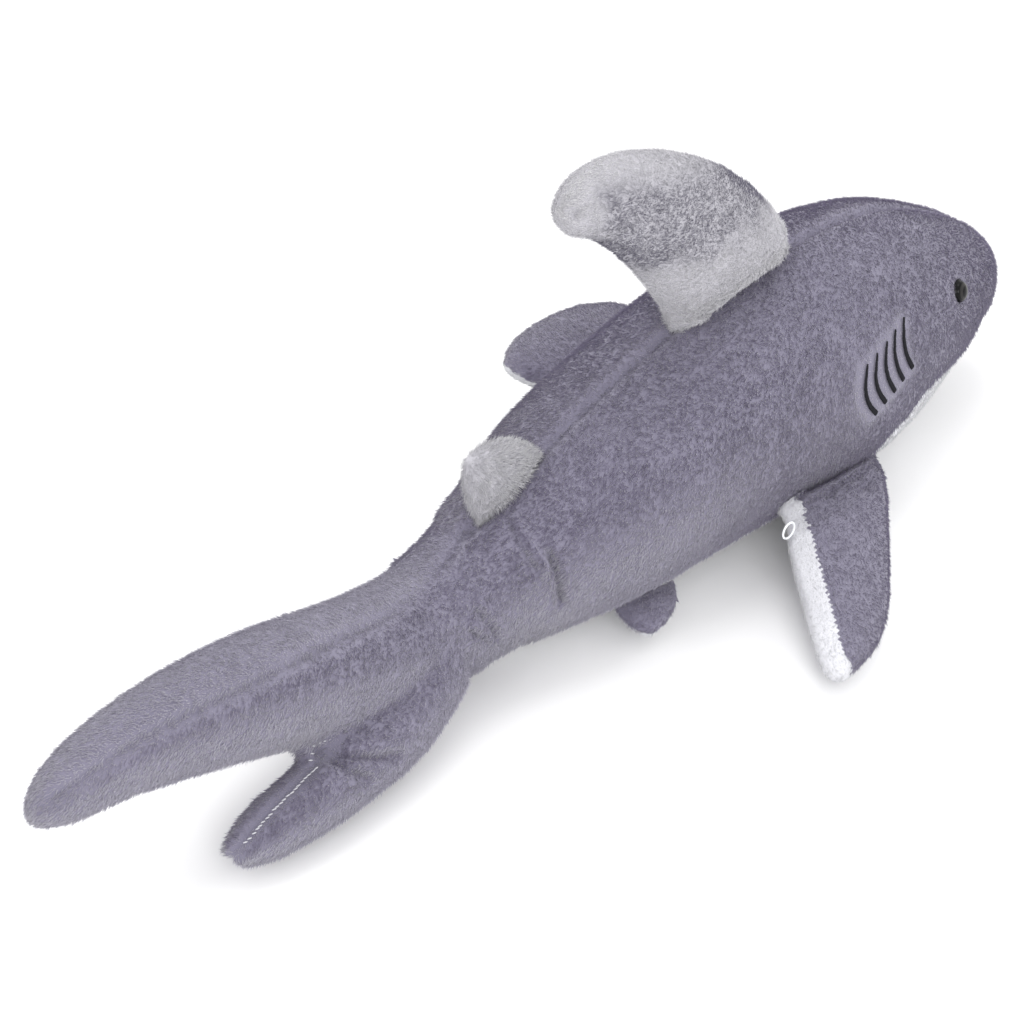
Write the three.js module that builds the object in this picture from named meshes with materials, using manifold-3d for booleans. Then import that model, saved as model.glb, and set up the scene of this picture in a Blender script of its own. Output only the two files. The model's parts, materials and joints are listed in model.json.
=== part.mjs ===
// A stuffed plush shark, lying on its belly. Millimetres, +Z up, nose along +X, its right side at -Y.
// The origin is on the resting surface, under the middle of the overall box.
import * as THREE from 'three';
import { mergeVertices } from 'three/addons/utils/BufferGeometryUtils.js';
import Module from 'manifold-3d';

const wasm = await Module();
wasm.setup();

// ---- driving dimensions ----
const SKIN = 3; // plush fabric with its pile
const GAP = 0.3; // room between pieces that touch
const FILLING_INSET = SKIN + 2.7; // the stuffing lies just inside the fabric
const TURN = Math.PI / 180;

const NOSE_TIP = 260;
const NOSE_START = 230; // where the snout begins to round off
const TORSO_REAR = -68;
// crown height, belly height and half width along the body
const BODY = [
  { x: -80, crown: 60, belly: 8, half: 22.5 },
  { x: -50, crown: 67, belly: 7, half: 28.5 },
  { x: 0, crown: 87, belly: 3, half: 43.7 },
  { x: 50, crown: 100, belly: 0, half: 48.8 },
  { x: 100, crown: 108, belly: -3, half: 51 },
  { x: 150, crown: 108, belly: -3, half: 51.5 },
  { x: 190, crown: 99, belly: 7, half: 43.5 },
  { x: 225, crown: 81, belly: 19, half: 32 },
  { x: 260, crown: 61, belly: 35, half: 18.5 },
];
// how far up the flanks the white belly panel reaches, under the body and under the jaw
const BELLY_REACH = 50 * TURN;
const JAW_REACH = 82 * TURN;
const JAW_START = 128;
const JAW_FULL = 164;
const TORSO_STEPS = 22;
const NOSE_STEPS = 5;
const FLANK_STEPS = 10;
const BELLY_STEPS = 10;

const TAIL_X = -80; // the upright line that the tail bends about
const SOCKET_RADIUS = 26;

// centre line of the tail stock and upper lobe, with half width, half height and seam twist
const TAIL = [
  { at: [-55, 0, 35], half: 28, tall: 30, twist: 0 },
  { at: [-85, -1, 34], half: 23, tall: 27, twist: 6 },
  { at: [-125, -4, 43], half: 22, tall: 27, twist: 14 },
  { at: [-166, -4, 55.5], half: 21, tall: 24.5, twist: 24 },
  { at: [-208, -3, 63.5], half: 17, tall: 20, twist: 32 },
  { at: [-240, -2, 64], half: 13, tall: 15, twist: 36 },
  { at: [-260, -2, 61.5], half: 11.5, tall: 11, twist: 38 },
];
const LOWER_LOBE = [
  { at: [-84, -12, 27], half: 16, tall: 18, twist: 0 },
  { at: [-112, -19, 19], half: 17, tall: 17.5, twist: 6 },
  { at: [-140, -24, 17], half: 15, tall: 16, twist: 10 },
  { at: [-168, -26, 15], half: 13, tall: 14, twist: 0 },
  { at: [-201, -24, 10.5], half: 9.5, tall: 9.5, twist: -20 },
];
const LOBE_ROUNDING = 0.16; // last part of a lobe's length that rounds off

const EYE_DIAMETER = 10;
const EYE_AT = { x: 195, angle: 25.5 * TURN };
const WASHER_RADIUS = 6;
const WASHER_THICKNESS = 1.6;
const WASHER_DEPTH = SKIN + 1.6;
const SHANK_RADIUS = 2;
const SHANK_LENGTH = 12;

const GILLS = 5;
const GILL_PITCH = 6.85; // from one slit's top to the next one's
const GILL_BOW = 4.6; // how far a slit bows back towards the tail
const STITCH_RADIUS = 0.9;
const STITCH_LIFT = STITCH_RADIUS + GAP;

const MOUTH = { front: 219, depth: 24, reach: 34 * TURN };

const CLOSING = { from: 0.56, to: 0.95, crossings: 22, sway: 3 * TURN, radius: 0.5, lift: 1.1 };

const FIN_EDGE = 0.9; // half thickness at a fin's sewn edge
const LOOP = { at: [61.5, -59, 32], radius: 3.4, wire: 0.45 };
const TOOL_HEIGHT = 300; // a cutting tool is taller than the whole toy

const PALETTE = {
  grey: { color: 0x82829a, roughness: 0.95 },
  lightGrey: { color: 0xb4b4be, roughness: 0.95 },
  white: { color: 0xebebf0, roughness: 0.95 },
  stuffing: { color: 0xf4f4f0, roughness: 1 },
  thread: { color: 0x17171b, roughness: 0.5 },
  greyThread: { color: 0xc6c6cc, roughness: 0.7 },
  eye: { color: 0x0c0c0e, roughness: 0.12 },
  washer: { color: 0xe6e6e2, roughness: 0.5 },
  nylon: { color: 0xe8eef2, roughness: 0.25 },
};

// ---- helpers for closed solids ----
function solidOf(triangles) {
  const loose = new THREE.BufferGeometry().setFromPoints(triangles);
  const merged = mergeVertices(loose, 1e-4);
  const index = merged.index.array;
  const at = (i) => new THREE.Vector3().fromBufferAttribute(merged.attributes.position, i);
  const kept = [];
  let volume = 0;
  for (let i = 0; i < index.length; i += 3) {
    const [a, b, c] = [index[i], index[i + 1], index[i + 2]];
    if (a === b || b === c || c === a) continue;
    kept.push(a, b, c);
    volume += at(a).dot(at(b).cross(at(c)));
  }
  if (volume < 0) kept.reverse();
  return new wasm.Manifold(new wasm.Mesh({
    numProp: 3,
    vertProperties: merged.attributes.position.array,
    triVerts: new Uint32Array(kept),
  }));
}

function solidFrom(geometry) {
  const loose = geometry.index ? geometry.toNonIndexed() : geometry;
  const corners = [];
  for (let i = 0; i < loose.attributes.position.count; i += 1) {
    corners.push(new THREE.Vector3().fromBufferAttribute(loose.attributes.position, i));
  }
  return solidOf(corners);
}

// A sheet between two faces, each a function of row and column numbers.
function sheet(rows, columns, outer, inner) {
  const triangles = [];
  const quad = (a, b, c, d) => triangles.push(a, b, c, a, c, d);
  for (let i = 0; i < rows; i += 1) {
    for (let j = 0; j < columns; j += 1) {
      quad(outer(i, j), outer(i + 1, j), outer(i + 1, j + 1), outer(i, j + 1));
      quad(inner(i, j), inner(i, j + 1), inner(i + 1, j + 1), inner(i + 1, j));
    }
    quad(outer(i, 0), inner(i, 0), inner(i + 1, 0), outer(i + 1, 0));
    quad(outer(i, columns), outer(i + 1, columns), inner(i + 1, columns), inner(i, columns));
  }
  for (let j = 0; j < columns; j += 1) {
    quad(outer(0, j), outer(0, j + 1), inner(0, j + 1), inner(0, j));
    quad(outer(rows, j), inner(rows, j), inner(rows, j + 1), outer(rows, j + 1));
  }
  return solidOf(triangles);
}

// A filled form from rings of points, capped at both ends.
function lump(rings, sides, point) {
  const triangles = [];
  const middle = (i) => {
    const sum = new THREE.Vector3();
    for (let j = 0; j < sides; j += 1) sum.add(point(i, j));
    return sum.divideScalar(sides);
  };
  for (let j = 0; j < sides; j += 1) {
    const k = (j + 1) % sides;
    for (let i = 0; i < rings; i += 1) {
      triangles.push(point(i, j), point(i + 1, j), point(i + 1, k));
      triangles.push(point(i, j), point(i + 1, k), point(i, k));
    }
    triangles.push(middle(0), point(0, j), point(0, k));
    triangles.push(middle(rings), point(rings, k), point(rings, j));
  }
  return solidOf(triangles);
}

// A smooth value through the stations' own values.
function along(stations, key, x) {
  let i = 0;
  while (i < stations.length - 2 && x > stations[i + 1].x) i += 1;
  const slope = (j) => {
    const before = stations[Math.max(j - 1, 0)];
    const after = stations[Math.min(j + 1, stations.length - 1)];
    return (after[key] - before[key]) / (after.x - before.x);
  };
  const span = stations[i + 1].x - stations[i].x;
  const t = (x - stations[i].x) / span;
  const [p, q] = [stations[i][key], stations[i + 1][key]];
  const [m, n] = [slope(i) * span, slope(i + 1) * span];
  return p + t * (m + t * (3 * (q - p) - 2 * m - n + t * (2 * (p - q) + m + n)));
}

// ---- the torso ----
// A point on the body's girth at x, inset from the outside. Its angle is 0 at the side and 90 at the crown.
function bodyPoint(x, side, angle, inset) {
  const reach = Math.max(x - NOSE_START, 0) / (NOSE_TIP - NOSE_START);
  const closing = Math.sqrt(Math.max(1 - reach * reach, 0));
  const crown = along(BODY, 'crown', x);
  const belly = along(BODY, 'belly', x);
  const centre = (crown + belly) / 2;
  const tall = ((crown - belly) / 2 - inset) * closing;
  const half = (along(BODY, 'half', x) - inset) * closing;
  return new THREE.Vector3(
    x - reach * inset,
    side * Math.max(half * Math.cos(angle), GAP / 2),
    Math.max(centre + tall * Math.sin(angle), inset),
  );
}

const girths = [];
for (let i = 0; i <= TORSO_STEPS; i += 1) {
  girths.push(THREE.MathUtils.lerp(TORSO_REAR, NOSE_START, i / TORSO_STEPS));
}
for (let i = 1; i <= NOSE_STEPS; i += 1) {
  const turn = (i / NOSE_STEPS) * 90 * TURN;
  girths.push(NOSE_START + (NOSE_TIP - NOSE_START) * Math.sin(turn));
}
const BELLY_FIRST = 1;
const BELLY_LAST = TORSO_STEPS;

function bellyAngle(x) {
  const [rear, front] = [girths[BELLY_FIRST], girths[BELLY_LAST]];
  const u = THREE.MathUtils.clamp((2 * x - rear - front) / (front - rear), -1, 1);
  const jaw = THREE.MathUtils.smoothstep(x, JAW_START, JAW_FULL);
  return THREE.MathUtils.lerp(BELLY_REACH, JAW_REACH, jaw) * Math.sqrt(1 - u ** 4);
}

const SEAM_ANGLE = 0.3 * TURN;

function flankPanel(side) {
  const point = (inset) => (i, j) => {
    const low = -90 * TURN + bellyAngle(girths[i]) + SEAM_ANGLE;
    const angle = THREE.MathUtils.lerp(low, 90 * TURN, j / FLANK_STEPS);
    return bodyPoint(girths[i], side, angle, inset);
  };
  return sheet(girths.length - 1, FLANK_STEPS, point(0), point(SKIN));
}

function bellyPanel() {
  const point = (inset) => (i, j) => {
    const x = girths[BELLY_FIRST + i];
    const reach = Math.max(bellyAngle(x) - SEAM_ANGLE, 0);
    const turn = (2 * j / BELLY_STEPS - 1) * reach;
    const p = bodyPoint(x, 1, -90 * TURN + Math.abs(turn), inset);
    p.y = Math.abs(turn) < 1e-9 ? 0 : p.y * Math.sign(turn);
    return p;
  };
  return sheet(BELLY_LAST - BELLY_FIRST, BELLY_STEPS, point(0), point(SKIN));
}

function torsoLump(inset) {
  const sides = 2 * (FLANK_STEPS + 3);
  return lump(girths.length - 1, sides, (i, j) => {
    const angle = (j / sides) * 360 * TURN;
    const p = bodyPoint(girths[i], 1, angle, inset);
    const reach = Math.max(girths[i] - NOSE_START, 0) / (NOSE_TIP - NOSE_START);
    const closing = Math.sqrt(Math.max(1 - reach * reach, 0));
    p.y = (along(BODY, 'half', girths[i]) - inset) * closing * Math.cos(angle);
    return p;
  });
}

function upright(radius, x, y) {
  const tube = new THREE.CylinderGeometry(radius, radius, TOOL_HEIGHT, 40);
  tube.rotateX(90 * TURN);
  tube.translate(x, y, 0);
  return solidFrom(tube);
}

// ---- lofted lobes ----
function loft(stations, inset) {
  const smooth = (points) => new THREE.CatmullRomCurve3(points, false, 'catmullrom');
  const centre = smooth(stations.map((s) => new THREE.Vector3(...s.at)));
  const sizes = smooth(stations.map((s) => new THREE.Vector3(s.half, s.tall, s.twist)));
  return (u, angle, spread = 0) => {
    const reach = Math.max(u - 1 + LOBE_ROUNDING, 0) / LOBE_ROUNDING;
    const closing = Math.sqrt(Math.max(1 - reach * reach, 0));
    const size = sizes.getPoint(u);
    const ahead = centre.getTangent(u);
    const across = new THREE.Vector3(0, 0, 1).cross(ahead).normalize();
    const up = ahead.clone().cross(across);
    const turned = angle + size.z * TURN;
    const p = centre.getPoint(u).addScaledVector(ahead, -inset * reach);
    const seamNormal = across.clone().multiplyScalar(Math.cos(size.z * TURN));
    seamNormal.addScaledVector(up, Math.sin(size.z * TURN));
    p.addScaledVector(across, (size.x - inset) * closing * Math.cos(turned));
    p.addScaledVector(up, (size.y - inset) * closing * Math.sin(turned));
    p.addScaledVector(seamNormal, spread);
    return p;
  };
}

function lobeSteps(rows) {
  const straight = rows - 4;
  const steps = [];
  for (let i = 0; i <= straight; i += 1) steps.push((i / straight) * (1 - LOBE_ROUNDING));
  for (let i = 1; i <= 4; i += 1) {
    steps.push(1 - LOBE_ROUNDING + LOBE_ROUNDING * Math.sin((i / 4) * 90 * TURN));
  }
  return steps;
}

// Half of a lobe's skin: side is +1 or -1 of the seam.
function lobePanel(stations, side, rows, columns) {
  const steps = lobeSteps(rows);
  const face = (inset) => {
    const surface = loft(stations, inset);
    return (i, j) => {
      const angle = (side > 0 ? -90 : 90) * TURN + (j / columns) * 180 * TURN;
      return surface(steps[i], angle, side * GAP / 2);
    };
  };
  return sheet(rows, columns, face(0), face(SKIN));
}

function lobeLump(stations, inset, rows, sides) {
  const steps = lobeSteps(rows);
  const surface = loft(stations, inset);
  return lump(rows, sides, (i, j) => surface(steps[i], (j / sides) * 360 * TURN));
}

// ---- fins ----
// A fin's own frame: x along its root towards the nose, y through its thickness, z out along its span.
function finFrame(origin, forward, out) {
  const x = new THREE.Vector3(...forward).normalize();
  const z = new THREE.Vector3(...out);
  z.addScaledVector(x, -z.dot(x)).normalize();
  const y = z.clone().cross(x);
  return new THREE.Matrix4().makeBasis(x, y, z).setPosition(new THREE.Vector3(...origin));
}

function outline(points) {
  return new THREE.CatmullRomCurve3(points.map(([x, z]) => new THREE.Vector3(x, 0, z)));
}

// Two fabric panels and, where the fin is thick enough, the stuffing between them.
function fin({ frame, lead, trail, bow, thick, neck, flare, rows, columns, stuffed, droop = 1 }) {
  const front = outline(lead);
  const back = outline(trail);
  const at = (s, c) => {
    const p = back.getPoint(s).lerp(front.getPoint(s), c);
    p.z += bow * 4 * c * (1 - c) * (1 - s) ** 2;
    return p;
  };
  const thickness = (s, c) => {
    const full = THREE.MathUtils.lerp(thick[0], thick[1], s);
    const crown = Math.sqrt(4 * c * (1 - c)) * Math.sqrt(1 - s ** 4);
    const crowned = THREE.MathUtils.lerp(FIN_EDGE, full, crown);
    const height = at(s, c).z - at(0, c).z;
    return Math.min(crowned, neck + flare * height);
  };
  const face = (offset) => (i, j) => {
    const [s, c] = [i / rows, j / columns];
    const p = at(s, c);
    p.y = offset(thickness(s, c));
    return p.applyMatrix4(frame);
  };
  const swell = (side) => (side < 0 ? droop : 1);
  const outside = (side) => face((t) => side * (t * swell(side) + GAP / 2));
  const inside = (side) => face((t) => side * Math.max(t * swell(side) + GAP / 2 - SKIN, GAP / 2));
  const panel = (side) => sheet(rows, columns, outside(side), inside(side));
  const parts = { minus: panel(-1), plus: panel(1) };
  if (stuffed) {
    const { from, to, margin, coreRows, coreColumns } = stuffed;
    const core = (side) => (i, j) => {
      const s = THREE.MathUtils.lerp(from, to, i / coreRows);
      const c = THREE.MathUtils.lerp(margin, 1 - margin, j / coreColumns);
      const p = at(s, c);
      p.y = side * Math.max(thickness(s, c) - FILLING_INSET, GAP);
      return p.applyMatrix4(frame);
    };
    parts.stuffing = sheet(coreRows, coreColumns, core(1), core(-1));
  }
  return parts;
}

// ---- putting it together ----
const group = new THREE.Group();

function place(name, solid, look) {
  const made = solid.getMesh();
  const geometry = new THREE.BufferGeometry();
  geometry.setAttribute('position', new THREE.BufferAttribute(made.vertProperties, 3));
  geometry.setIndex(new THREE.BufferAttribute(made.triVerts, 1));
  const material = new THREE.MeshStandardMaterial({ ...PALETTE[look], metalness: 0 });
  const mesh = new THREE.Mesh(geometry, material);
  mesh.name = name;
  group.add(mesh);
}

const socket = upright(SOCKET_RADIUS + 2 * GAP, TAIL_X, 0);

// A line of raised stitching laid over a surface.
function threadAlong(points, radius, steps) {
  const path = new THREE.CatmullRomCurve3(points);
  const section = new THREE.Shape();
  section.absarc(0, 0, radius, 0, 2 * Math.PI);
  return solidFrom(new THREE.ExtrudeGeometry(section, {
    steps, curveSegments: 3, extrudePath: path, bevelEnabled: false,
  }));
}

function angleAtHeight(x, z) {
  const crown = along(BODY, 'crown', x);
  const belly = along(BODY, 'belly', x);
  return Math.asin((z - (crown + belly) / 2) / ((crown - belly) / 2));
}

// One gill slit's raised stitching: down the flank, hooking forward at its foot.
function gillStitch(side, number) {
  const top = { x: 121 + GILL_PITCH * number, z: 75.3 + 1.85 * number };
  const drop = 23.4 - 0.6 * number;
  const hook = 2.6 - number;
  const points = [];
  for (let i = 0; i <= 6; i += 1) {
    const t = i / 6;
    const x = top.x - GILL_BOW * Math.sin(Math.PI * t) + hook * t ** 3;
    const z = top.z - drop * t;
    points.push(bodyPoint(x, side, angleAtHeight(x, z), -STITCH_LIFT));
  }
  return threadAlong(points, STITCH_RADIUS, 10);
}

// The eye's own axis: where it sits on the head and which way it looks.
function eyeFrame(side) {
  const seat = bodyPoint(EYE_AT.x, side, EYE_AT.angle, 0);
  const ahead = bodyPoint(EYE_AT.x + 1, side, EYE_AT.angle, 0).sub(seat);
  const above = bodyPoint(EYE_AT.x, side, EYE_AT.angle + TURN, 0).sub(seat);
  const out = ahead.cross(above).multiplyScalar(-side).normalize();
  const turn = new THREE.Quaternion().setFromUnitVectors(new THREE.Vector3(0, 1, 0), out);
  return new THREE.Matrix4().compose(seat, turn, new THREE.Vector3(1, 1, 1));
}

function turned(profile, segments = 16) {
  return new THREE.LatheGeometry(profile.map(([r, y]) => new THREE.Vector2(r, y)), segments);
}

// Domed button with its shank, heights measured out from the fabric's face.
function eyeProfile() {
  const radius = EYE_DIAMETER / 2;
  const dome = [];
  for (let i = 0; i <= 4; i += 1) {
    const turn = (i / 4) * 90 * TURN;
    dome.push([radius * Math.cos(turn), GAP + 1 + 3 * Math.sin(turn)]);
  }
  dome[4][0] = 0;
  const shankEnd = GAP - SHANK_LENGTH;
  return [[0, shankEnd], [SHANK_RADIUS, shankEnd], [SHANK_RADIUS, GAP], [radius, GAP], ...dome];
}

function washerProfile() {
  const [inner, outer] = [SHANK_RADIUS + GAP, WASHER_RADIUS];
  const top = -WASHER_DEPTH;
  const low = top - WASHER_THICKNESS;
  return [[inner, low], [outer, low], [outer, top], [inner, top], [inner, low]];
}

function eyes(side, name) {
  const frame = eyeFrame(side);
  const pocket = (radius, depth) => {
    const plug = new THREE.CylinderGeometry(radius, radius, depth + 6, 16);
    plug.translate(0, 3 - depth / 2, 0);
    return solidFrom(plug.applyMatrix4(frame));
  };
  place(`${name}_eye`, solidFrom(turned(eyeProfile()).applyMatrix4(frame)), 'eye');
  place(`${name}_eye_washer`, solidFrom(turned(washerProfile()).applyMatrix4(frame)), 'washer');
  return {
    hole: pocket(SHANK_RADIUS + GAP, 8),
    well: pocket(WASHER_RADIUS + 2 * GAP, WASHER_DEPTH + WASHER_THICKNESS + GAP),
    bore: pocket(SHANK_RADIUS + GAP, SHANK_LENGTH + 1),
  };
}

function torso() {
  const right = eyes(-1, 'right');
  const left = eyes(1, 'left');
  place('right_flank_panel', flankPanel(-1).subtract(socket).subtract(right.hole), 'grey');
  place('left_flank_panel', flankPanel(1).subtract(socket).subtract(left.hole), 'grey');
  place('belly_panel', bellyPanel().subtract(socket), 'white');
  const filling = torsoLump(FILLING_INSET).subtract(socket);
  const wells = [right.well, right.bore, left.well, left.bore];
  place('torso_stuffing', wells.reduce((body, well) => body.subtract(well), filling), 'stuffing');
  for (let number = 0; number < GILLS; number += 1) {
    place(`right_gill_stitch_${number + 1}`, gillStitch(-1, number), 'thread');
    place(`left_gill_stitch_${number + 1}`, gillStitch(1, number), 'thread');
  }
}

// The stitched mouth line: an arc under the snout, on the white panel.
function mouthStitch() {
  const points = [];
  for (let i = 0; i <= 8; i += 1) {
    const across = (i / 8) * 2 - 1;
    const x = MOUTH.front - MOUTH.depth * across * across;
    const turn = across * MOUTH.reach;
    const p = bodyPoint(x, 1, -90 * TURN + Math.abs(turn), -STITCH_LIFT);
    p.y = turn === 0 ? 0 : p.y * Math.sign(turn);
    points.push(p);
  }
  return threadAlong(points, STITCH_RADIUS, 16);
}

const STOCK_ROWS = 16;
const TAIL_COLUMNS = 8;

// The tail's front end is a round that turns inside the torso's socket.
function tailLimit() {
  const block = new THREE.BoxGeometry(80, 200, TOOL_HEIGHT);
  block.translate(TAIL_X + 40, 0, 0);
  return solidFrom(block).subtract(upright(SOCKET_RADIUS, TAIL_X, 0));
}

// Ladder stitching that closed the skin after filling, along the lower lobe's upper seam.
function closingSeam() {
  const surface = loft(LOWER_LOBE, -CLOSING.lift);
  const points = [];
  for (let i = 0; i <= CLOSING.crossings; i += 1) {
    const u = THREE.MathUtils.lerp(CLOSING.from, CLOSING.to, i / CLOSING.crossings);
    const sway = i % 2 ? CLOSING.sway : -CLOSING.sway;
    points.push(surface(u, 90 * TURN + sway));
  }
  return threadAlong(points, CLOSING.radius, 2 * CLOSING.crossings);
}

function tail() {
  const limit = tailLimit();
  place('tail_right_panel', lobePanel(TAIL, -1, STOCK_ROWS, TAIL_COLUMNS).subtract(limit), 'grey');
  place('tail_left_panel', lobePanel(TAIL, 1, STOCK_ROWS, TAIL_COLUMNS).subtract(limit), 'grey');
  place('tail_stuffing', lobeLump(TAIL, FILLING_INSET, STOCK_ROWS, 16).subtract(limit), 'stuffing');
  const stock = lobeLump(TAIL, -2 * GAP, STOCK_ROWS, 16);
  const rows = 11;
  place('lower_lobe_right_panel', lobePanel(LOWER_LOBE, -1, rows, 7).subtract(stock), 'grey');
  place('lower_lobe_left_panel', lobePanel(LOWER_LOBE, 1, rows, 7).subtract(stock), 'grey');
  place('lower_lobe_stuffing', lobeLump(LOWER_LOBE, FILLING_INSET, rows, 14).subtract(stock), 'stuffing');
  place('closing_seam', closingSeam().subtract(stock), 'greyThread');
}

function placeFin(names, parts, looks) {
  names.forEach((name, i) => {
    const solid = [parts.minus, parts.plus, parts.stuffing][i];
    place(name, solid, looks[i]);
  });
}

function dorsalFin() {
  const frame = finFrame([57, 0, 102], [1, 0, 0.125], [0, 0, 1]);
  const parts = fin({
    frame,
    lead: [[71, 0], [54, 31], [23, 65], [-17, 90], [-44, 93], [-55, 84]],
    trail: [[0, 0], [-9, 18], [-26, 46], [-41, 64], [-52, 73], [-55, 84]],
    bow: 2.6,
    thick: [19, 8],
    neck: 1.2,
    flare: 1.1,
    rows: 12,
    columns: 10,
    stuffed: { from: 0.07, to: 0.86, margin: 0.09, coreRows: 8, coreColumns: 6 },
  });
  const names = ['dorsal_right_panel', 'dorsal_left_panel', 'dorsal_stuffing'];
  placeFin(names, parts, ['lightGrey', 'lightGrey', 'stuffing']);
}

function secondDorsalFin() {
  const frame = finFrame([-51, 0, 68.6], [1, 0, 0.39], [0, 0.25, 1]);
  const parts = fin({
    frame,
    lead: [[36, 0], [30, 11], [20, 19], [9, 20]],
    trail: [[0, 0], [1, 7], [4, 14], [9, 20]],
    bow: 0.6,
    thick: [5, 4],
    neck: 1.2,
    flare: 1.2,
    rows: 6,
    columns: 6,
  });
  placeFin(['second_dorsal_right_panel', 'second_dorsal_left_panel'], parts, ['lightGrey', 'lightGrey']);
}

const PECTORAL_STUFFING = { from: 0.12, to: 0.84, margin: 0.14, coreRows: 7, coreColumns: 5 };

function pectoralFins() {
  const right = fin({
    frame: finFrame([88, -46, 26.2], [56, 5, -9], [0, -0.93, -0.35]),
    lead: [[56, 0], [42, 14], [19, 32], [-9, 53], [-30, 64], [-48, 69], [-66, 70]],
    trail: [[-15, 0], [-29, 13], [-46, 33], [-60, 50], [-67, 61], [-66, 70]],
    bow: 1,
    thick: [11, 7],
    neck: 1.2,
    flare: 0.6,
    droop: 1.5,
    rows: 10,
    columns: 8,
    stuffed: PECTORAL_STUFFING,
  });
  const rightNames = ['right_pectoral_under_panel', 'right_pectoral_top_panel', 'right_pectoral_stuffing'];
  placeFin(rightNames, right, ['white', 'grey', 'stuffing']);
  const left = fin({
    frame: finFrame([88, 46, 25], [56, -5, -9], [0, 0.99, 0.14]),
    lead: [[57, 0], [65, 23], [62, 48], [45, 68], [20, 69], [-1, 65], [-18, 58], [-29, 49]],
    trail: [[0, 0], [-9, 10], [-20, 23], [-28, 37], [-29, 49]],
    bow: 1,
    thick: [11, 7],
    neck: 1.2,
    flare: 0.55,
    rows: 10,
    columns: 8,
    stuffed: PECTORAL_STUFFING,
  });
  const leftNames = ['left_pectoral_top_panel', 'left_pectoral_under_panel', 'left_pectoral_stuffing'];
  placeFin(leftNames, left, ['grey', 'white', 'stuffing']);
}

function pelvicFins() {
  const shape = {
    lead: [[32, 0], [24, 7], [15, 12], [7, 13.5]],
    trail: [[1, 0], [1, 5], [3, 10], [7, 13.5]],
    bow: 0.5,
    thick: [4.5, 3.5],
    neck: 1.2,
    flare: 0.9,
    rows: 6,
    columns: 6,
  };
  const right = fin({ ...shape, frame: finFrame([-6, -31.4, 14], [1, -0.14, -0.03], [0, -0.94, -0.33]) });
  placeFin(['right_pelvic_under_panel', 'right_pelvic_top_panel'], right, ['white', 'grey']);
  const left = fin({ ...shape, frame: finFrame([-6, 31.4, 14], [1, 0.14, -0.03], [0, 0.94, -0.33]) });
  placeFin(['left_pelvic_top_panel', 'left_pelvic_under_panel'], left, ['grey', 'white']);
}

// A clear nylon loop left by a label, standing on the rear seam of the right pectoral.
function tagLoop() {
  const ring = new THREE.TorusGeometry(LOOP.radius, LOOP.wire, 6, 20);
  ring.rotateX(90 * TURN);
  ring.translate(...LOOP.at);
  return solidFrom(ring);
}

torso();
place('mouth_stitch', mouthStitch(), 'thread');
tail();
dorsalFin();
secondDorsalFin();
pectoralFins();
pelvicFins();
place('tag_loop', tagLoop(), 'nylon');

export default group;
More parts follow.
